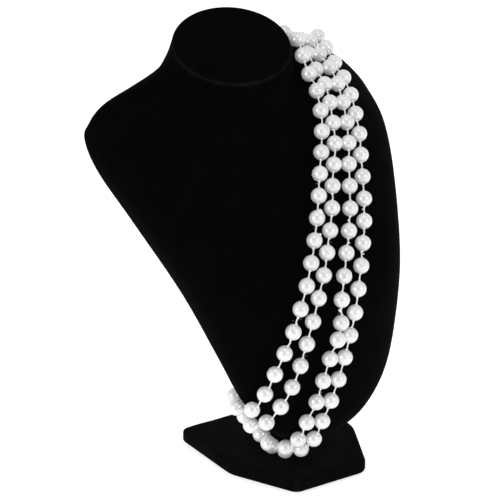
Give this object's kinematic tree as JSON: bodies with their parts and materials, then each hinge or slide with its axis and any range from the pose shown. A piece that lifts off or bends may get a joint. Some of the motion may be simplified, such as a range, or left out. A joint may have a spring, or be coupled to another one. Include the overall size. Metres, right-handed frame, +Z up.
{
  "type": "long pearl necklace on a neck bust stand",
  "caption": "Long strand of round pearl beads spaced on a thread, wound like a sash round a plain black velvet neck bust that stands on a flat six-sided base plate.",
  "frame": {"origin": "middle of the base plate's underside, on the surface that it stands on", "axes": "+Z up; -Y the way the chest faces; +X towards the shoulder that carries the strands"},
  "size_m": [0.1912, 0.1583, 0.2572],
  "materials": {
    "velvet": "black flocked velvet",
    "pearl": "white pearl lustre",
    "cotton": "white twisted thread, slightly fuzzy"
  },
  "bodies": {
    "root": {"base": "velvet", "bead_inner_01": "pearl", "bead_inner_02": "pearl", "bead_inner_03": "pearl", "bead_inner_04": "pearl", "bead_inner_05": "pearl", "bead_inner_06": "pearl", "bead_inner_07": "pearl", "bead_inner_08": "pearl", "bead_inner_09": "pearl", "bead_inner_10": "pearl", "bead_inner_11": "pearl", "bead_inner_12": "pearl", "bead_inner_13": "pearl", "bead_inner_14": "pearl", "bead_inner_15": "pearl", "bead_inner_16": "pearl", "bead_inner_17": "pearl", "bead_inner_18": "pearl", "bead_inner_19": "pearl", "bead_outer_01": "pearl", "bead_outer_02": "pearl", "bead_outer_03": "pearl", "bead_outer_04": "pearl", "bead_outer_05": "pearl", "bead_outer_06": "pearl", "bead_outer_07": "pearl", "bead_outer_08": "pearl", "bead_outer_09": "pearl", "bead_outer_10": "pearl", "bead_outer_11": "pearl", "bead_outer_12": "pearl", "bead_outer_13": "pearl", "bead_outer_14": "pearl", "bead_outer_15": "pearl", "bead_outer_16": "pearl", "bead_outer_17": "pearl", "bead_outer_18": "pearl", "bead_outer_19": "pearl", "bust": "velvet", "stem": "velvet", "strand_01": "pearl", "strand_02": "pearl", "strand_03": "pearl", "strand_04": "pearl", "strand_05": "pearl", "strand_06": "pearl", "strand_07": "pearl", "strand_08": "pearl", "strand_09": "pearl", "strand_10": "pearl", "strand_11": "pearl", "strand_12": "pearl", "strand_13": "pearl", "strand_14": "pearl", "strand_15": "pearl", "strand_16": "pearl", "thread_inner": "cotton", "thread_outer": "cotton"}
  },
  "joints": []
}
